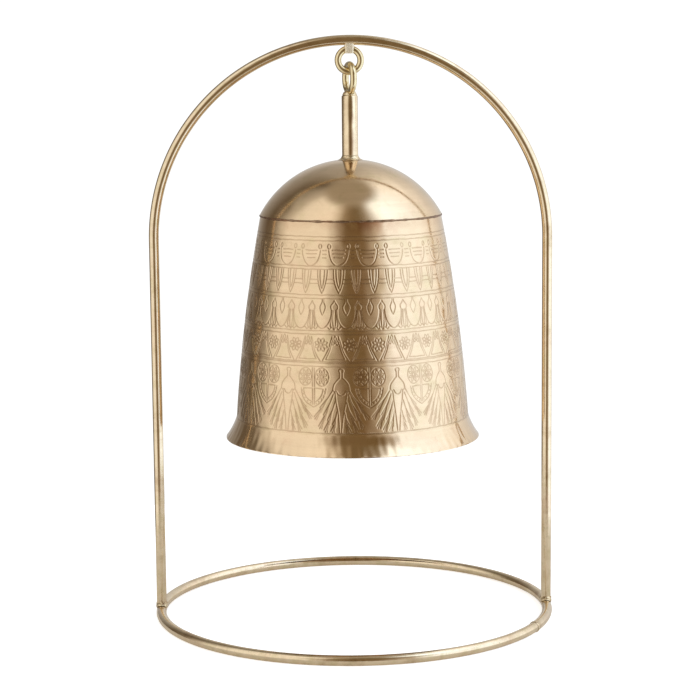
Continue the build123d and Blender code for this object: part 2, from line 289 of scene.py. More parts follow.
def turning_group():
    """Fine marks that run round the bell's axis, as a lathe and a polishing cloth leave them."""
    tree, taken, given = new_group(
        "turning_marks",
        (("Place", "NodeSocketVector", None), ("Around", "NodeSocketFloat", 6.0),
         ("Fineness", "NodeSocketFloat", 900.0)),
        (("Height", "NodeSocketFloat"), ("Streaks", "NodeSocketFloat")))
    place = put(tree, "ShaderNodeSeparateXYZ", {0: taken["Place"]})
    level = put(tree, "ShaderNodeCombineXYZ", {"X": place.outputs["X"], "Y": place.outputs["Y"]})
    radius = put(tree, "ShaderNodeVectorMath", {0: level.outputs[0]}, operation="LENGTH")
    heading = put(tree, "ShaderNodeVectorMath", {0: level.outputs[0]}, operation="NORMALIZE")
    along = put(tree, "ShaderNodeVectorMath", {0: heading.outputs["Vector"], "Scale": taken["Around"]},
                operation="SCALE")
    profile = put(tree, "ShaderNodeMath", {0: place.outputs["Z"], 1: radius.outputs["Value"]},
                  operation="SUBTRACT")
    across = put(tree, "ShaderNodeMath", {0: profile.outputs[0], 1: taken["Fineness"]}, operation="MULTIPLY")
    lift = put(tree, "ShaderNodeCombineXYZ", {"Z": across.outputs[0]})
    spun = put(tree, "ShaderNodeVectorMath", {0: along.outputs["Vector"], 1: lift.outputs[0]},
               operation="ADD")
    marks = put(tree, "ShaderNodeTexNoise",
                {"Vector": spun.outputs["Vector"], "Scale": 1.0, "Detail": 3.0, "Roughness": 0.6})
    broad = put(tree, "ShaderNodeTexNoise",
                {"Vector": spun.outputs["Vector"], "Scale": 0.22, "Detail": 2.0})
    tree.links.new(marks.outputs["Fac"], given["Height"])
    tree.links.new(broad.outputs["Fac"], given["Streaks"])
    return tree


def handled_group():
    """Roughness that drifts between two values, with fine scuffs."""
    tree, taken, given = new_group(
        "handled",
        (("Place", "NodeSocketVector", None), ("Bright", "NodeSocketFloat", 0.2),
         ("Dull", "NodeSocketFloat", 0.35), ("Size", "NodeSocketFloat", 0.02)),
        (("Roughness", "NodeSocketFloat"),))
    density = put(tree, "ShaderNodeMath", {0: 1.0, 1: taken["Size"]}, operation="DIVIDE")
    cloud = put(tree, "ShaderNodeTexNoise",
                {"Vector": taken["Place"], "Scale": density.outputs[0], "Detail": 6.0, "Roughness": 0.7})
    value = put(tree, "ShaderNodeMapRange",
                {"Value": cloud.outputs["Fac"], "From Min": 0.32, "From Max": 0.68,
                 "To Min": taken["Bright"], "To Max": taken["Dull"]})
    tree.links.new(value.outputs["Result"], given["Roughness"])
    return tree


PATCHES = patches_group()
TURNING = turning_group()
HANDLED = handled_group()


def tinted(tree, base, tint, share):
    """Mix a tint into a colour where a mask says so."""
    mix = put(tree, "ShaderNodeMix", data_type="RGBA")
    for socket, value in ((mix.inputs["Factor"], share), (mix.inputs["A"], base), (mix.inputs["B"], tint)):
        if isinstance(value, bpy.types.NodeSocket):
            tree.links.new(value, socket)
        else:
            socket.default_value = value
    return mix.outputs["Result"]


def scaled(tree, value, factor):
    """A mask times a number or another mask."""
    return put(tree, "ShaderNodeMath", {0: value, 1: factor}, operation="MULTIPLY").outputs[0]


def patches(tree, place, size, share):
    """Mask of patches of a size over a share of the surface."""
    group = put(tree, "ShaderNodeGroup", {"Place": place, "Size": size, "Share": share},
                node_tree=PATCHES)
    return group.outputs["Mask"]


def brass_finish(name, metal, stains, bright, dull, smudge,
                 marks=None, grain=None, engraved=None, stain_and_painted_streak=None):
    """A metal with stains, smudges and its working marks.

    bright, dull, smudge: lowest and highest roughness, and the size of a smudge.
    stains: (colour, patch size, share, strength) each.
    marks: (around, fineness, depth) of the turning marks.
    grain: (size, depth) of cast or brazed lumps.
    engraved: colour of the dirt in the grooves.
    stain_and_painted_streak: (colour, spot, reach, run, flatness) of one larger mark, a real stain
    on the plain strip and a painted dark reflection streak on the stem. It fades out over its run
    downwards, and a flatness under 1 draws it out in height.
    """
    material = bpy.data.materials.new(name)
    material.use_nodes = True
    tree = material.node_tree
    tree.nodes.clear()
    place = put(tree, "ShaderNodeTexCoord").outputs["Object"]
    colour = metal
    for tint, size, share, strength in stains:
        colour = tinted(tree, colour, tint, scaled(tree, patches(tree, place, size, share), strength))
    rough = put(tree, "ShaderNodeGroup", {"Place": place, "Bright": bright, "Dull": dull, "Size": smudge},
                node_tree=HANDLED)
    roughness = rough.outputs["Roughness"]
    height, depth = None, 0.0
    if marks:
        around, fineness, depth = marks
        lathe = put(tree, "ShaderNodeGroup", {"Place": place, "Around": around, "Fineness": fineness},
                    node_tree=TURNING)
        height = lathe.outputs["Height"]
        streak = put(tree, "ShaderNodeMapRange",
                     {"Value": lathe.outputs["Streaks"], "From Min": 0.35, "From Max": 0.7,
                      "To Min": 0.0, "To Max": 0.22})
        darker = tuple(0.72 * part for part in metal[:3]) + (1,)
        colour = tinted(tree, colour, darker, streak.outputs["Result"])
    if grain:
        size, depth = grain
        lumps = put(tree, "ShaderNodeTexNoise", {"Vector": place, "Scale": 1 / size, "Detail": 5.0})
        height = lumps.outputs["Fac"]
    # One larger mark: a real stain on the plain strip, a painted dark reflection streak on the stem.
    if stain_and_painted_streak:
        tint, spot, reach, run, flatness = stain_and_painted_streak
        z = put(tree, "ShaderNodeSeparateXYZ", {0: place}).outputs["Z"]
        fade = put(tree, "ShaderNodeMapRange",
                   {"Value": z, "From Min": spot[2] - run, "From Max": spot[2], "To Min": 0.0, "To Max": 0.8})
        offset = put(tree, "ShaderNodeVectorMath", {0: place, 1: spot}, operation="SUBTRACT")
        flattened = put(tree, "ShaderNodeVectorMath", {0: offset.outputs["Vector"], 1: (1, 1, flatness)},
                        operation="MULTIPLY")
        away = put(tree, "ShaderNodeVectorMath", {0: flattened.outputs["Vector"]}, operation="LENGTH")
        near = put(tree, "ShaderNodeMapRange",
                   {"Value": away.outputs["Value"], "From Min": 0.2 * reach, "From Max": reach,
                    "To Min": 1.0, "To Max": 0.25})
        blotches = patches(tree, place, size=0.007, share=0.56)
        share = scaled(tree, fade.outputs["Result"], blotches)
        colour = tinted(tree, colour, tint, scaled(tree, share, near.outputs["Result"]))
    if engraved:
        groove = put(tree, "ShaderNodeAttribute", attribute_name="engraving").outputs["Fac"]
        colour = tinted(tree, colour, engraved, scaled(tree, groove, 0.7))
        roughness = put(tree, "ShaderNodeMath", {0: roughness, 1: scaled(tree, groove, 0.12)},
                        operation="ADD").outputs[0]
    surface = put(tree, "ShaderNodeBsdfPrincipled", {"Base Color": colour, "Roughness": roughness,
                                                     "Metallic": 1.0})
    if height is not None:
        bump = put(tree, "ShaderNodeBump", {"Height": height, "Strength": 1.0, "Distance": depth})
        tree.links.new(bump.outputs["Normal"], surface.inputs["Normal"])
    out = put(tree, "ShaderNodeOutputMaterial")
    tree.links.new(surface.outputs["BSDF"], out.inputs["Surface"])
    return material


LIGHT_BRASS = (0.80, 0.60, 0.38, 1)
ROD_BRASS = (0.81, 0.66, 0.45, 1)
RING_BRASS = (0.76, 0.63, 0.38, 1)
WARM_TINT = (0.72, 0.47, 0.30, 1)
OLIVE_TINT = (0.58, 0.48, 0.24, 1)
BROWN_TINT = (0.42, 0.26, 0.13, 1)
COPPER_TINT = (0.40, 0.17, 0.08, 1)
PIT_TINT = (0.20, 0.13, 0.07, 1)
PALE_SOLDER = (0.92, 0.82, 0.62, 1)
GOLD_SOLDER = (0.80, 0.66, 0.42, 1)
STEM_BRASS = (0.86, 0.70, 0.46, 1)
# Painted reflection: the dark streak drawn down the stem's front
STEM_PAINTED_REFLECTION = (0.30, 0.15, 0.08, 1)
# Seam colour: dark braze, darkened further as painted shadow under the cap's overhanging rim
SEAM_BRAZE_AND_PAINTED_SHADE = (0.24, 0.15, 0.09, 1)
INNER_BRASS = (0.62, 0.45, 0.26, 1)
GROOVE_DIRT = (0.30, 0.17, 0.08, 1)

bell_finish = brass_finish(
    "engraved_bell_brass", LIGHT_BRASS,
    ((WARM_TINT, 0.007, 0.42, 0.35), (OLIVE_TINT, 0.011, 0.40, 0.40), (BROWN_TINT, 0.004, 0.33, 0.30)),
    0.10, 0.19, 0.012, marks=(5.0, 1500.0, 0.002 * MM), engraved=GROOVE_DIRT)
strip_finish = brass_finish(
    "plain_bell_brass", LIGHT_BRASS,
    ((WARM_TINT, 0.014, 0.38, 0.30), (BROWN_TINT, 0.006, 0.30, 0.25)),
    0.09, 0.17, 0.02, marks=(3.5, 1300.0, 0.003 * MM), engraved=GROOVE_DIRT,
    stain_and_painted_streak=(COPPER_TINT, (6.5 * MM, -WALL_TOP_R, WALL_TOP_Z), 18 * MM, 8 * MM, 1.0))
dome_finish = brass_finish(
    "spun_dome_brass", LIGHT_BRASS,
    ((WARM_TINT, 0.020, 0.40, 0.25), (OLIVE_TINT, 0.012, 0.38, 0.45), (BROWN_TINT, 0.005, 0.30, 0.22)),
    0.10, 0.19, 0.02, marks=(3.0, 1100.0, 0.003 * MM))
lip_finish = brass_finish(
    "hammered_lip_brass", LIGHT_BRASS,
    ((WARM_TINT, 0.010, 0.40, 0.35), (BROWN_TINT, 0.005, 0.30, 0.35)),
    0.07, 0.15, 0.010, marks=(4.0, 1200.0, 0.002 * MM))
rod_finish = brass_finish(
    "drawn_rod_brass", ROD_BRASS,
    ((WARM_TINT, 0.012, 0.42, 0.30), (OLIVE_TINT, 0.005, 0.42, 0.40), (BROWN_TINT, 0.011, 0.37, 0.50),
     (PIT_TINT, 0.0011, 0.27, 0.75)),
    0.10, 0.20, 0.006, grain=(0.0015, 0.0015 * MM))
ring_finish = brass_finish(
    "ring_wire_brass", RING_BRASS,
    ((OLIVE_TINT, 0.003, 0.40, 0.40), (BROWN_TINT, 0.002, 0.36, 0.45)),
    0.10, 0.18, 0.003, grain=(0.0015, 0.0015 * MM))
stem_finish = brass_finish(
    "turned_stem_brass", STEM_BRASS,
    ((COPPER_TINT, 0.007, 0.36, 0.18), (BROWN_TINT, 0.003, 0.34, 0.30)),
    0.10, 0.17, 0.006, grain=(0.002, 0.001 * MM),
    # Painted reflection: a dark streak drawn down the stem's front, where it reflects the dim gap in front.
    stain_and_painted_streak=(STEM_PAINTED_REFLECTION, (0.9 * MM, -4.7 * MM, CROWN_Z + 17 * MM), 2.0 * MM, 40 * MM, 0.1))
pale_braze_finish = brass_finish(
    "pale_braze", PALE_SOLDER,
    ((WARM_TINT, 0.004, 0.36, 0.30), (BROWN_TINT, 0.0016, 0.30, 0.60)),
    0.50, 0.65, 0.002, grain=(0.0015, 0.006 * MM))
gold_braze_finish = brass_finish(
    "gold_braze", GOLD_SOLDER,
    ((WARM_TINT, 0.003, 0.42, 0.30), (BROWN_TINT, 0.0018, 0.43, 0.80), (PIT_TINT, 0.0012, 0.34, 0.90)),
    0.20, 0.36, 0.002, grain=(0.0007, 0.07 * MM))
# Dark braze in the seam, partly painted shadow under the cap's rim.
seam_braze_and_shade_finish = brass_finish(
    "dark_seam_braze_and_painted_shade", SEAM_BRAZE_AND_PAINTED_SHADE,
    ((COPPER_TINT, 0.006, 0.42, 0.40), (LIGHT_BRASS, 0.004, 0.36, 0.40)),
    0.30, 0.5, 0.004, grain=(0.0012, 0.08 * MM))
inner_finish = brass_finish(
    "inner_brass", INNER_BRASS,
    ((OLIVE_TINT, 0.005, 0.45, 0.5), (BROWN_TINT, 0.003, 0.42, 0.6)),
    0.28, 0.48, 0.005, grain=(0.001, 0.03 * MM))


# Engraved patterns: each is half a motif, mirrored about its middle, as (across, down) points

def stroke(*points, parts=5):
    """Points along a smooth line through a few points."""
    held = np.array([points[0], *points, points[-1]], float)
    t = np.linspace(0, 1, parts, endpoint=False)[:, None]
    runs = []
    for a, b, c, d in zip(held, held[1:], held[2:], held[3:]):
        runs.append(0.5 * (2 * b + (c - a) * t + (2 * a - 5 * b + 4 * c - d) * t ** 2
                           + (3 * b - a - 3 * c + d) * t ** 3))
    return np.vstack([*runs, held[-1:]])


def oval(x, y, half_width, half_height):
    """Points round an oval."""
    turn = np.linspace(0, math.tau, 17)
    return np.column_stack((x + half_width * np.cos(turn), y + half_height * np.sin(turn)))


def leaf(root, tip, swell):
    """Two bowed strokes from a root to a tip."""
    root, tip = np.array(root, float), np.array(tip, float)
    side = np.array((root[1] - tip[1], tip[0] - root[0])) / np.hypot(*(tip - root)) * swell
    belly = root * 0.45 + tip * 0.55
    return [stroke(root, belly + side, tip), stroke(root, belly - side, tip)]


def frond(root, tip):
    """A straight blade with two side shoots on each side, as on a fir branch."""
    root, tip = np.array(root, float), np.array(tip, float)
    run = tip - root
    side = np.array((run[1], -run[0])) / np.hypot(*run)
    shoots = [stroke(root, tip)]
    for start, end, swing in ((0.25, 0.62, 1.0), (0.55, 0.95, 1.1), (0.35, 0.74, -0.9), (0.62, 0.98, -1.0)):
        shoots.append(stroke(root + start * run, root + end * run + swing * side))
    return shoots


def swags(edge):
    """Garlands looped between oval beads, with short hatching."""
    lines = [oval(5.4, 3.2, 0.85, 1.25),
             stroke((5.6, 5.4), (5.1, 8.4), (3.8, 11.6), (1.7, 13.5), (0, 14.0))]
    lines += [stroke((0, y), (x, y)) for x, y in ((3.7, 5.3), (3.3, 7.3), (2.5, 9.4))]
    lines += [stroke((7.0, y), (edge, y)) for y in (5.4, 7.5, 9.5)]
    return lines


def tongues(edge):
    """Pointed leaves that hang from the border, joined by bars."""
    return [stroke((2.9, 0.2), (2.75, 3.5), (2.1, 7.5), (1.1, 11.0), (0, 13.3)),
            stroke((1.3, 0.2), (1.2, 4.0), (0.75, 8.0), (0, 10.6)),
            stroke((2.5, 5.6), (edge, 5.6)),
            stroke((2.0, 7.9), (edge, 7.9))]


def lilies(edge):
    """Long-petalled lilies with a bud on top, and drops that hang between them."""
    return [stroke((0, 1.2), (0.7, 2.6), (1.8, 4.2), (1.6, 6.0), (0.5, 6.9)),
            stroke((1.5, 6.6), (1.9, 10.2), (3.2, 13.8), (5.2, 16.2), (edge, 16.7)),
            stroke((0.45, 6.6), (0.95, 10.5), (0.75, 14.5), (0, 17.3)),
            stroke((1.1, 6.8), (1.6, 11.0), (2.2, 14.4), (1.7, 16.4)),
            stroke((0, 17.3), (1.3, 15.9), (2.6, 17.0), (3.9, 15.8), (5.2, 16.2)),
            stroke((edge - 0.45, 0.2), (edge - 0.5, 1.9), (edge - 1.7, 4.6), (edge - 1.15, 7.2), (edge, 9.3))]


def blossoms(edge):
    """Wide blossoms with a small palmette, and rosettes of round petals between them."""
    lines = [stroke((1.9, 1.2), (2.9, 4.5), (4.3, 9.0), (edge - 0.5, 15.0)),
             stroke((0, 15.2), (edge, 15.2)),
             stroke((1.6, 3.7), (2.4, 6.0), (3.3, 9.2), (5.4, 13.7)),
             stroke((0, 13.8), (5.4, 13.8)),
             stroke((0, 0.8), (0.75, 2.2), (0, 4.2)),
             stroke((0.4, 4.6), (1.6, 3.2), (1.9, 1.2)),
             stroke((0, 4.4), (1.3, 5.7), (2.1, 4.2)),
             oval(edge, 5.8, 0.8, 0.8)]
    for turn in (-67.5, -22.5, 22.5, 67.5):
        out = np.array((-math.cos(math.radians(turn)), math.sin(math.radians(turn))))
        lines += leaf((edge, 5.8) + 1.0 * out, (edge, 5.8) + 3.9 * out, 0.9)
    return lines


def vases(edge):
    """Flasks over fans of reed blades, with rosettes and a bowl between them."""
    lines = [stroke((0, 1.2), (1.1, 1.6), (1.15, 2.6), (0.8, 3.3), (0.8, 6.2)),
             stroke((0.8, 6.2), (2.6, 8.0), (4.2, 10.2), (4.8, 13.0)),
             stroke((4.8, 13.0), (3.6, 13.9), (2.7, 13.5), (1.6, 15.3), (0, 16.0)),
             stroke((3.4, 14.0), (2.7, 20.0), (1.5, 27.0), (0.6, 36.8)),
             stroke((edge - 0.55, 0.8), (edge - 0.55, 11.4)),
             stroke((edge - 0.55, 12.4), (edge - 0.55, 21.4)),
             oval(edge - 5.0, 5.8, 4.2, 5.1),
             oval(edge - 5.0, 5.8, 0.8, 0.9),
             stroke((edge - 0.7, 12.2), (edge - 6.0, 12.4)),
             stroke((edge - 7.6, 12.2), (edge - 6.6, 16.4), (edge - 4.1, 20.2), (edge, 22.9)),
             stroke((edge - 6.0, 12.6), (edge - 5.1, 15.8), (edge - 3.1, 18.5), (edge - 0.6, 20.1))]
    for spoke in range(8):
        turn = math.radians(45 * spoke + 22.5)
        out = (math.cos(turn), math.sin(turn))
        root = (edge - 5.0 + 0.9 * out[0], 5.8 + 1.0 * out[1])
        tip = (edge - 5.0 + 3.6 * out[0], 5.8 + 4.4 * out[1])
        lines += leaf(root, tip, 0.6)
    blades = (((4.9, 13.4), (edge - 1.2, 29.5)), ((4.3, 15.4), (edge - 4.2, 34.8)),
              ((3.3, 19.6), (8.7, 36.8)), ((2.3, 25.4), (4.6, 36.9)))
    for root, tip in blades:
        lines += frond(root, tip)
    for down, out in ((13.6, 6.9), (15.8, 6.1), (17.8, 4.9), (19.5, 3.4), (20.6, 1.7)):
        lines.append(oval(edge - out, down, 0.12, 0.12))
    return lines


# Pattern, how many times it goes round, and the angle of one motif's middle
BANDS = ((swags, 22, -8.3), (tongues, 38, -7.9), (lilies, 29, -10.2), (blossoms, 25, -9.6), (vases, 13, -6.7))


def circle_through(a, b, c):
    """Centre and radius of the circle through three (radius, height) points."""
    lhs = np.array([(b[0] - a[0], b[1] - a[1]), (c[0] - a[0], c[1] - a[1])])
    rhs = np.array([(np.dot(b, b) - np.dot(a, a)) / 2, (np.dot(c, c) - np.dot(a, a)) / 2])
    centre = np.linalg.solve(lhs, rhs)
    return centre, math.dist(centre, a)


WALL_ARC = circle_through((WALL_TOP_R, WALL_TOP_Z), (WALL_MID_R, (WALL_TOP_Z + WALL_BOTTOM_Z) / 2),
                          (WALL_BOTTOM_R, WALL_BOTTOM_Z))
FLARE_ARC = circle_through((WALL_BOTTOM_R, WALL_BOTTOM_Z), (FLARE_MID_R, (WALL_BOTTOM_Z + LIP_Z) / 2),
                           (LIP_R, LIP_Z))


def wall_radius(z):
    """Outer radius of the wall and its flared lip at a height."""
    (wall_r, wall_z), wall_bend = WALL_ARC
    (flare_r, flare_z), flare_bend = FLARE_ARC
    wall = wall_r + np.sqrt(np.maximum(wall_bend ** 2 - (z - wall_z) ** 2, 0))
    flare = flare_r - np.sqrt(np.maximum(flare_bend ** 2 - (z - flare_z) ** 2, 0))
    return np.where(z > WALL_BOTTOM_Z, wall, flare)


def ripple(angle, down, waves):
    """Soft unevenness of handwork between -1 and 1, that closes round the bell."""
    total = sum(np.sin(turns * angle + down / pitch + start) for turns, pitch, start in waves)
    return total / len(waves)


LINE_WAVER = ((5, 30, 0.4), (13, 17, 2.1), (31, 11, 4.4), (57, 5, 1.2))
SIDE_WAVER = ((3, 26, 1.7), (11, 13, 0.2), (29, 9, 3.6), (47, 6, 5.1))
DENTS = ((7, 9, 0.6), (13, 5, 2.9), (23, -4, 1.1), (37, 3, 4.0), (51, -2.6, 5.5))
LIP_WAVES = ((9, 40, 0.9), (17, -25, 3.1), (26, 18, 0.3), (41, -14, 2.2), (67, 6, 1.4), (89, -4, 4.6))
PRESSURE = ((17, 7, 0.5), (43, -5, 3.3), (71, 3, 1.9))


def nearest(across, down, strokes):
    """Distance from each point to the nearest stroke."""
    best = np.full(across.shape, PLAIN)
    for line in strokes:
        low, high = line.min(0) - STROKE_REACH, line.max(0) + STROKE_REACH
        near = np.flatnonzero((across > low[0]) & (across < high[0]) & (down > low[1]) & (down < high[1]))
        x, y = across[near], down[near]
        closest = best[near]
        for start, end in zip(line, line[1:]):
            run = end - start
            share = np.clip(((x - start[0]) * run[0] + (y - start[1]) * run[1]) / max(run @ run, 1e-9), 0, 1)
            gap = np.hypot(x - start[0] - share * run[0], y - start[1] - share * run[1])
            closest = np.minimum(closest, gap)
        best[near] = closest
    return best


def distance_to_engraving(angle, down):
    """Distance from points of the unrolled wall to the nearest engraved line."""
    level = down + LEVEL_WAVER * ripple(angle, down, LINE_WAVER)
    gap = np.full(down.shape, PLAIN)
    for line in (line for border in BORDERS for line in border):
        gap = np.minimum(gap, np.abs(level - line))
    for (pattern, repeats, start), above, below in zip(BANDS, BORDERS, BORDERS[1:]):
        inside = np.flatnonzero((down > above[-1] - 1) & (down < below[0] + 1))
        if not len(inside):
            continue
        mid_z = SEAM_Z - (above[-1] + below[0]) / 2 * MM
        mid_r = float(wall_radius(np.array(mid_z))) / MM
        cell = math.tau / repeats
        turn = angle[inside] - math.radians(start)
        turn = turn + TURN_WAVER * ripple(angle[inside], down[inside], SIDE_WAVER) / mid_r
        across = np.abs((turn + cell / 2) % cell - cell / 2) * mid_r
        strokes = pattern(cell / 2 * mid_r)
        gap[inside] = np.minimum(gap[inside], nearest(across, level[inside] - above[-1], strokes))
    return gap


def engrave(bm, dents, waves, depth_at_edge=0.0):
    """Press the engraving and the soft dents into the outer skin, and return the groove mask."""
    mesh = bpy.data.meshes.new("wall_blank")
    bm.to_mesh(mesh)
    co = np.empty(len(mesh.vertices) * 3)
    mesh.vertices.foreach_get("co", co)
    co = co.reshape(-1, 3)
    angle = np.arctan2(co[:, 0], -co[:, 1])
    radius = np.hypot(co[:, 0], co[:, 1])
    down = (SEAM_Z - co[:, 2]) / MM
    skin = radius > wall_radius(co[:, 2]) - 0.05 * MM
    mask = np.zeros(len(co))
    gap = distance_to_engraving(angle[skin], down[skin])
    pressure = 0.85 + 0.15 * ripple(angle[skin], down[skin], PRESSURE)
    groove = np.exp(-(gap / GROOVE_HALF) ** 2) * pressure
    burr = np.exp(-((gap - BURR_AT) / BURR_HALF) ** 2) * pressure
    mask[skin] = groove
    move = BURR_HEIGHT * burr - GROOVE_DEPTH * groove
    fade = np.clip(down[skin] / 2.0, 0, 1)
    flare = np.clip((WALL_BOTTOM_Z - co[skin, 2]) / LIP_HEIGHT, 0, 1)
    dent = dents + (depth_at_edge - dents) * flare
    move = move + fade * dent * (ripple(angle[skin], down[skin], waves) - 1)
    stretch = 1 + move * MM / radius[skin]
    co[skin, 0] *= stretch
    co[skin, 1] *= stretch
    bpy.data.meshes.remove(mesh)
    for vert, place in zip(bm.verts, co):
        vert.co = place
    return mask


def wall_outline(top, bottom):
    """Closed outline of the wall between two heights, with fine rows on its outer side."""
    rows = max(round((top - bottom) / WALL_ROW), 2)
    outer_z = np.linspace(top, bottom, rows + 1)
    outer = list(zip(wall_radius(outer_z), outer_z))
    inner_z = np.linspace(bottom, top, 4)
    inner = list(zip(wall_radius(inner_z) - SHEET * WALL_SHEETS, inner_z))
    return outer + inner


def wall_piece(name, top_mm, bottom_mm, dents, finish):
    """One ring of the wall, between two depths under the seam, its groove mask an attribute."""
    top = min(SEAM_Z - top_mm * MM, WALL_TOP_Z)
    bm = turned(wall_outline(top, SEAM_Z - bottom_mm * MM), WALL_COLUMNS)
    mask = engrave(bm, dents, DENTS)
    piece = add_piece(bm, name, "bell", ["bell_body"], finish, crease=60)
    layer = piece.data.attributes.new("engraving", "FLOAT", "POINT")
    layer.data.foreach_set("value", mask.astype(np.float32))


def make_wall():
    """The wall as rings that meet in the middle of their borders, and the tallest band as two."""
    cuts = [sum(border) / len(border) for border in BORDERS[:-1]]
    vase_cut = (cuts[-1] + LIP_STARTS) / 2
    wall_piece("wall_plain_strip", 0, cuts[0], STRIP_DENTS, strip_finish)
    names = ("wall_band_swags", "wall_band_tongues", "wall_band_lilies", "wall_band_blossoms")
    for name, top, bottom in zip(names, cuts, cuts[1:]):
        wall_piece(name, top, bottom, HAMMERING, bell_finish)
    wall_piece("wall_band_vases_upper", cuts[-1], vase_cut, HAMMERING, bell_finish)
    wall_piece("wall_band_vases_lower", vase_cut, LIP_STARTS, HAMMERING, bell_finish)


def make_lip():
    """Flared lip with a softly rounded edge, its surface wavy from the hammer."""
    top = SEAM_Z - LIP_STARTS * MM
    outer_z = np.linspace(top, LIP_Z + 0.6 * MM, 20)
    outline = list(zip(wall_radius(outer_z), outer_z))
    inner_r = LIP_R - SHEET * (WALL_SHEETS + LIP_THICKENING)
    outline += [(LIP_R - 0.12 * MM, LIP_Z + 0.25 * MM), (LIP_R - LIP_ROUNDING, LIP_Z),
                (inner_r + LIP_ROUNDING, LIP_Z), (inner_r, LIP_Z + 0.3 * MM)]
    inner_z = np.linspace(LIP_Z + 1.2 * MM, top, 10)
    slope = np.clip((WALL_BOTTOM_Z - inner_z) / LIP_HEIGHT, 0, 1)
    outline += list(zip(wall_radius(inner_z) - SHEET * (WALL_SHEETS + LIP_THICKENING * slope), inner_z))
    bm = turned(outline, WALL_COLUMNS)
    engrave(bm, HAMMERING, LIP_WAVES, LIP_DENTS)
    add_piece(bm, "flared_lip", "bell", ["bell_body"], lip_finish, crease=50)


def make_dome():
    """Spun cap, a shell of even thickness with the stem's hole in its crown."""
    outline = []
    for radius, order in ((DOME_R, 1), (DOME_R - SHEET, -1)):
        hole = math.asin(CROWN_HOLE_R / radius)
        rim = math.acos((CAP_RIM_Z - DOME_CENTRE_Z) / radius)
        for tilt in np.linspace(hole, rim, 56)[::order]:
            outline.append((radius * math.sin(tilt), DOME_CENTRE_Z + radius * math.cos(tilt)))
    bm = turned(outline, CAP_COLUMNS)
    for vert in bm.verts:
        angle = math.atan2(vert.co.x, -vert.co.y)
        down = (CROWN_Z - vert.co.z) / MM
        out = (vert.co - Vector((0, 0, DOME_CENTRE_Z))).normalized()
        spread = min(math.hypot(vert.co.x, vert.co.y) / CAP_RIM_R, 1)
        vert.co += out * CAP_DENTS * spread * (float(ripple(angle, down, DENTS[:3])) - 1)
    add_piece(bm, "spun_dome", "bell", ["bell_dome"], dome_finish)


def make_seam():
    """Bead of dark braze in the seam, uneven in height. Its dark colour is partly the braze's own and partly
    painted shadow under the cap's overhanging rim.
    """
    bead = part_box("shoulder_braze")[1].x
    inner_r = bead - SEAM_BEAD_DEPTH
    outline = [(inner_r, WALL_TOP_Z), (WALL_TOP_R, WALL_TOP_Z)]
    for step in range(1, 8):
        turn = math.pi * step / 8
        reach = math.sin(turn) ** 0.6
        outline.append((WALL_TOP_R + (bead - WALL_TOP_R) * reach,
                        WALL_TOP_Z + (CAP_RIM_Z - WALL_TOP_Z) * (1 - math.cos(turn)) / 2))
    outline += [(CAP_RIM_R, CAP_RIM_Z), (inner_r, CAP_RIM_Z)]
    bm = turned(outline, 720)
    for vert in bm.verts:
        radius = math.hypot(vert.co.x, vert.co.y)
        if radius > CAP_RIM_R:
            sink = (noise.noise(vert.co / (2.5 * MM)) - 0.6) * 0.14 * MM
            vert.co.x *= 1 + sink / radius
            vert.co.y *= 1 + sink / radius
            vert.co.z = SEAM_Z + (vert.co.z - SEAM_Z) * (1.25 + 0.9 * noise.noise(vert.co / (4 * MM)))
    add_piece(bm, "seam_bead", "bell", ["shoulder_braze"], seam_braze_and_shade_finish, crease=60)


# Stand

def make_base_ring():
    """One rod bent to a ring, dressed flat where it stands, its ends a braze's width apart."""
    bm = bmesh.new()
    gap = BUTT_GAP / HOOP_R
    section = rod_section(bm, ROD_R, ROD_SIDES, (0, 0, 0))
    verts = [part for part in section if isinstance(part, bmesh.types.BMVert)]
    bmesh.ops.rotate(bm, verts=verts, cent=(0, 0, 0), matrix=Matrix.Rotation(math.pi / 2, 3, "X"))
    bmesh.ops.translate(bm, verts=verts, vec=(HOOP_R, 0, BASE_Z))
    steps = round(math.tau * HOOP_R / ROD_STEP)
    swept(bm, section, steps, angle=math.tau - gap)
    bmesh.ops.rotate(bm, verts=bm.verts, cent=(0, 0, 0),
                     matrix=Matrix.Rotation(BUTT_ANGLE + gap / 2, 3, "Z"))
    close_ends(bm)
    bmesh.ops.recalc_face_normals(bm, faces=bm.faces)
    rub(bm, ROD_RUB, 6 * MM, 1.3)
    for vert in bm.verts:
        vert.co.z = max(vert.co.z, 0)
    add_piece(bm, "stand_ring", "stand", ["base_ring"], rod_finish)


def make_arch():
    """One rod bent to an arch, its legs let into the base ring."""
    bm = bmesh.new()
    section = rod_section(bm, ROD_R, ROD_SIDES, (-HOOP_R, 0, LEG_FOOT_Z))
    leg_steps = round((LEG_TOP_Z - LEG_FOOT_Z) / ROD_STEP)
    rise = (LEG_TOP_Z - LEG_FOOT_Z) / leg_steps
    section = swept(bm, section, leg_steps, rise=(0, 0, rise))
    arc_steps = round(math.pi * HOOP_R / ROD_STEP)
    section = swept(bm, section, arc_steps, angle=math.pi, centre=(0, 0, LEG_TOP_Z), axis=(0, 1, 0))
    swept(bm, section, leg_steps, rise=(0, 0, -rise))
    close_ends(bm)
    bmesh.ops.recalc_face_normals(bm, faces=bm.faces)
    rub(bm, ROD_RUB, 6 * MM, 2.7)
    add_piece(bm, "stand_arch", "stand", ["arch_rod"], rod_finish)


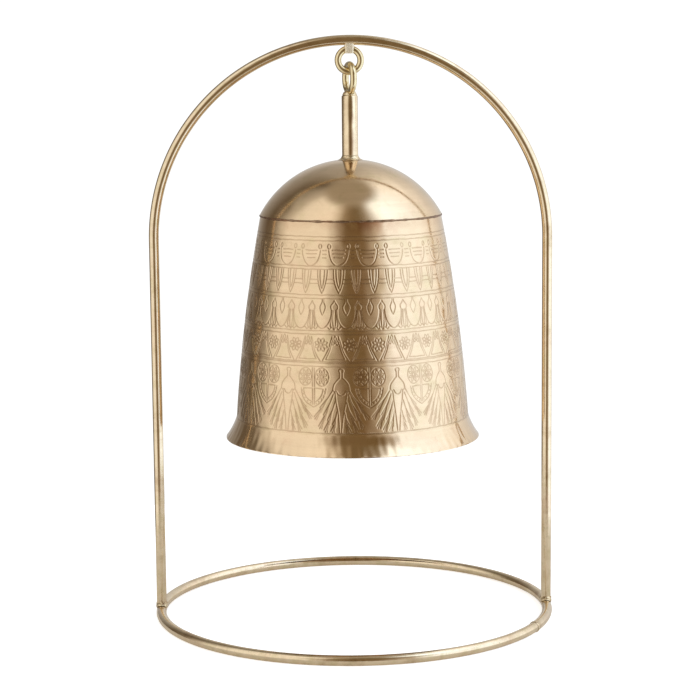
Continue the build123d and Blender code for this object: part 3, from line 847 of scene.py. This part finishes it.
def wire_ring(radius, wire_r, gap, gap_up, turn, height):
    """Round wire bent to an upright ring, open by a gap at an angle above its right side."""
    bm = bmesh.new()
    section = rod_section(bm, wire_r, ROD_SIDES, (radius, 0, 0))
    opening = gap / radius
    swept(bm, section, 72, angle=opening - math.tau, axis=(0, 1, 0))
    place = (Matrix.Translation((0, 0, height)) @ Matrix.Rotation(turn, 4, "Z")
             @ Matrix.Rotation(-gap_up - opening / 2, 4, "Y"))
    bmesh.ops.transform(bm, matrix=place, verts=bm.verts)
    close_ends(bm)
    bmesh.ops.recalc_face_normals(bm, faces=bm.faces)
    rub(bm, ROD_RUB, 3 * MM, radius / MM)
    return bm


def make_rings():
    """The two rings the bell hangs by, and the clapper's loose link."""
    add_piece(wire_ring(HANGER_R, WIRE_R, RING_GAP, math.pi / 2, 0, HANGER_Z),
              "hanging_ring", "stand", ["hanger_ring"], ring_finish)
    add_piece(wire_ring(LINK_R, WIRE_R, RING_GAP, -math.pi / 2, LINK_TURN - math.pi / 2, LINK_Z),
              "stem_ring", "bell", ["link_ring"], ring_finish)
    add_piece(wire_ring(CLAPPER_LINK_R, CLAPPER_WIRE_R, CLAPPER_LINK_GAP, 0, math.pi / 2, CLAPPER_LINK_Z),
              "loose_link", "clapper_link", ["clapper_link"], inner_finish)


def make_brazes():
    """Lumps of braze at the joints, each made from its frame part."""
    # frame part, body, voxel size, depth and size of the lumps, seed, lift, finish. Lengths are
    # in millimetres, and a voxel size of 0 keeps the frame's mesh
    jobs = (("base_ring_braze", "stand", 0.22, 0.10, 1.5, 3.0, 0.0, gold_braze_finish),
            ("foot_braze_left", "stand", 0.22, 0.30, 1.6, 5.0, -0.28, gold_braze_finish),
            ("foot_braze_right", "stand", 0.22, 0.30, 1.6, 8.0, -0.28, gold_braze_finish),
            ("hanger_ring_braze", "stand", 0.2, 0.10, 2.6, 2.0, 0.15, pale_braze_finish),
            ("link_ring_braze", "bell", 0.18, 0.14, 1.8, 4.0, 0.0, gold_braze_finish),
            ("stem_braze", "bell", 0, 0, 1.0, 0.0, 0.0, gold_braze_finish))
    for node, body, voxel, lump, grain, seed, lift, finish in jobs:
        bm = from_frame(node, voxel * MM, lump * MM, grain * MM, seed, lift * MM)
        add_piece(bm, node.replace("_braze", "_bead"), body, [node], finish, crease=80,
                  turned_out=bool(voxel))


def make_stem():
    """The bar between the rings and the crown."""
    bm = from_frame("stem")
    add_piece(bm, "turned_stem", "bell", ["stem"], stem_finish, crease=30, turned_out=False)


def make_inside():
    """Washer, staple and clapper, plainer work than the outside."""
    for node, body, voxel in (("crown_washer", "bell", 0), ("clapper_eye", "bell", 0.2),
                              ("clapper_eye_braze", "bell", 0.2), ("clapper_rod", "clapper", 0.3),
                              ("clapper_ball", "clapper", 0.4)):
        finish = gold_braze_finish if node.endswith("braze") else inner_finish
        lump = 0.05 if voxel else 0
        bm = from_frame(node, voxel * MM, lump * MM, 3 * MM, 1.0)
        add_piece(bm, node + "_worked", body, [node], finish, turned_out=bool(voxel))


# Studio

LENS = 108.72                 # millimetres
SENSOR = 36
CAMERA_PLACE = (-0.0281, -1.2390, 0.3325)
CAMERA_TURN = math.radians(-1.246)
CAMERA_DIP = math.radians(7.99)
CAMERA_LEAN = math.radians(-0.53)
TABLE_R = 0.34
TABLE_COLOUR = (0.9, 0.9, 0.9, 1)
TABLE_GLOW = (0.7, 0.7, 0.7, 1)
REFLECTED_TABLE_COLOUR = (0.52, 0.51, 0.49, 1)
REFLECTED_TABLE_GLOW = (0.28, 0.27, 0.25, 1)
BACKDROP = (1.1, 1.1, 1.1, 1)
ZENITH_LIGHT = (0.40, 0.36, 0.30, 1)


def make_camera():
    """Camera a little left of the front and above the bell, held a touch off level."""
    data = bpy.data.cameras.new("camera")
    data.lens = LENS
    data.sensor_width = SENSOR
    camera = bpy.data.objects.new("camera", data)
    turn = Matrix.Rotation(CAMERA_TURN, 4, "Z")
    tilt = Matrix.Rotation(math.pi / 2 - CAMERA_DIP, 4, "X")
    lean = Matrix.Rotation(CAMERA_LEAN, 4, "Z")
    camera.matrix_world = Matrix.Translation(CAMERA_PLACE) @ turn @ tilt @ lean
    bpy.context.scene.collection.objects.link(camera)
    bpy.context.scene.camera = camera


# Light of the studio by heading, as (degrees to the right of the front, red, green, blue), for
# the sides, for a ledge above them and for the ceiling
WALL_LIGHT = (
    (-180, 0.66, 0.66, 0.66), (-160, 0.40, 0.39, 0.38), (-143, 0.25, 0.23, 0.21), (-130, 0.14, 0.11, 0.08),
    (-114, 0.20, 0.17, 0.13), (-98, 0.72, 0.70, 0.66), (-86, 1.05, 1.05, 1.05), (-32, 1.08, 1.08, 1.08),
    (-18, 0.50, 0.44, 0.38), (-8, 0.22, 0.16, 0.09), (10, 0.21, 0.14, 0.07), (22, 0.42, 0.36, 0.30),
    (32, 0.72, 0.68, 0.64), (44, 1.32, 1.50, 1.80), (96, 1.32, 1.50, 1.76), (116, 1.15, 1.20, 1.30),
    (140, 0.84, 0.86, 0.90), (160, 0.72, 0.73, 0.75), (180, 0.66, 0.66, 0.66))
LEDGE_LIGHT = (
    (-180, 0.50, 0.50, 0.50), (-150, 0.30, 0.28, 0.26), (-132, 0.15, 0.12, 0.09), (-114, 0.24, 0.21, 0.17),
    (-98, 0.66, 0.64, 0.61), (-85, 1.00, 1.00, 1.00), (-40, 1.10, 1.10, 1.10), (-26, 0.60, 0.55, 0.48),
    (-14, 0.22, 0.16, 0.09), (26, 0.20, 0.14, 0.07), (40, 0.50, 0.46, 0.42), (52, 1.35, 1.55, 1.90),
    (96, 1.35, 1.55, 1.90), (125, 1.15, 1.20, 1.30), (150, 0.80, 0.81, 0.83), (180, 0.50, 0.50, 0.50))
CEILING_LIGHT = (
    (-180, 0.45, 0.44, 0.42), (-164, 0.42, 0.41, 0.40), (-150, 0.27, 0.25, 0.22), (-135, 0.15, 0.12, 0.09),
    (-120, 0.36, 0.34, 0.31), (-100, 0.60, 0.58, 0.55), (-85, 1.00, 1.00, 1.00), (-38, 1.14, 1.14, 1.14),
    (-24, 0.80, 0.76, 0.70), (-13, 0.36, 0.29, 0.20), (0, 0.22, 0.16, 0.09), (14, 0.21, 0.16, 0.09),
    (27, 0.38, 0.34, 0.28), (38, 0.95, 1.04, 1.20), (46, 1.45, 1.72, 2.10), (60, 1.60, 1.90, 2.40),
    (96, 1.40, 1.60, 1.95), (130, 1.28, 1.34, 1.46), (150, 0.88, 0.90, 0.93), (180, 0.45, 0.44, 0.42))


def light_round(tree, turn, levels):
    """Colour of the light by heading, as a ramp round the horizon."""
    share = put(tree, "ShaderNodeMapRange", {"Value": turn, "From Min": -math.pi, "From Max": math.pi})
    node = put(tree, "ShaderNodeValToRGB", {"Fac": share.outputs["Result"]})
    stops = node.color_ramp.elements
    stops.remove(stops[1])
    for number, (degrees, *light) in enumerate(levels):
        stop = stops[0] if number == 0 else stops.new((degrees + 180) / 360)
        stop.position = (degrees + 180) / 360
        stop.color = (*light, 1)
    return node.outputs["Color"]


def make_surroundings():
    """Studio round the bell: soft boxes left and right, a dim gap in front and at the far left."""
    world = bpy.data.worlds.new("studio")
    bpy.context.scene.world = world
    world.use_nodes = True
    tree = world.node_tree
    tree.nodes.clear()
    heading = put(tree, "ShaderNodeTexCoord").outputs["Generated"]
    part = put(tree, "ShaderNodeSeparateXYZ", {0: heading}).outputs
    toward = put(tree, "ShaderNodeMath", {0: part["Y"], 1: -1.0}, operation="MULTIPLY")
    turn = put(tree, "ShaderNodeMath", {0: part["X"], 1: toward.outputs[0]}, operation="ARCTAN2")
    walls = light_round(tree, turn.outputs[0], WALL_LIGHT)
    ledge = light_round(tree, turn.outputs[0], LEDGE_LIGHT)
    ceiling = light_round(tree, turn.outputs[0], CEILING_LIGHT)
    sky = walls
    for light, low, high in ((ledge, 0.38, 0.52), (ceiling, 0.62, 0.72), (ZENITH_LIGHT, 0.90, 0.97)):
        share = put(tree, "ShaderNodeMapRange", {"Value": part["Z"], "From Min": low, "From Max": high},
                    interpolation_type="SMOOTHSTEP")
        sky = tinted(tree, sky, light, share.outputs["Result"])
    seen = put(tree, "ShaderNodeLightPath").outputs["Is Camera Ray"]
    shown = tinted(tree, sky, BACKDROP, seen)
    light = put(tree, "ShaderNodeBackground", {"Color": shown, "Strength": 1.0})
    out = put(tree, "ShaderNodeOutputWorld")
    tree.links.new(light.outputs["Background"], out.inputs["Surface"])
    bpy.context.scene.view_settings.view_transform = "Standard"


def make_floor():
    """White table under the stand, that shows in the brass as a greyer one."""
    bm = bmesh.new()
    bmesh.ops.create_circle(bm, cap_ends=True, segments=96, radius=TABLE_R)
    mesh = bpy.data.meshes.new("table")
    bm.to_mesh(mesh)
    bm.free()
    paper = bpy.data.materials.new("white_table")
    paper.use_nodes = True
    tree = paper.node_tree
    tree.nodes.clear()
    seen = put(tree, "ShaderNodeLightPath").outputs["Is Camera Ray"]
    colour = tinted(tree, REFLECTED_TABLE_COLOUR, TABLE_COLOUR, seen)
    glow = tinted(tree, REFLECTED_TABLE_GLOW, TABLE_GLOW, seen)
    surface = put(tree, "ShaderNodeBsdfPrincipled", {"Base Color": colour, "Roughness": 0.7,
                                                     "Emission Color": glow, "Emission Strength": 1.0})
    out = put(tree, "ShaderNodeOutputMaterial")
    tree.links.new(surface.outputs["BSDF"], out.inputs["Surface"])
    mesh.materials.append(paper)
    table = bpy.data.objects.new("table", mesh)
    bpy.context.scene.collection.objects.link(table)


make_camera()
make_surroundings()
make_floor()
make_wall()
make_lip()
make_dome()
make_seam()
make_base_ring()
make_arch()
make_rings()
make_brazes()
make_stem()
make_inside()
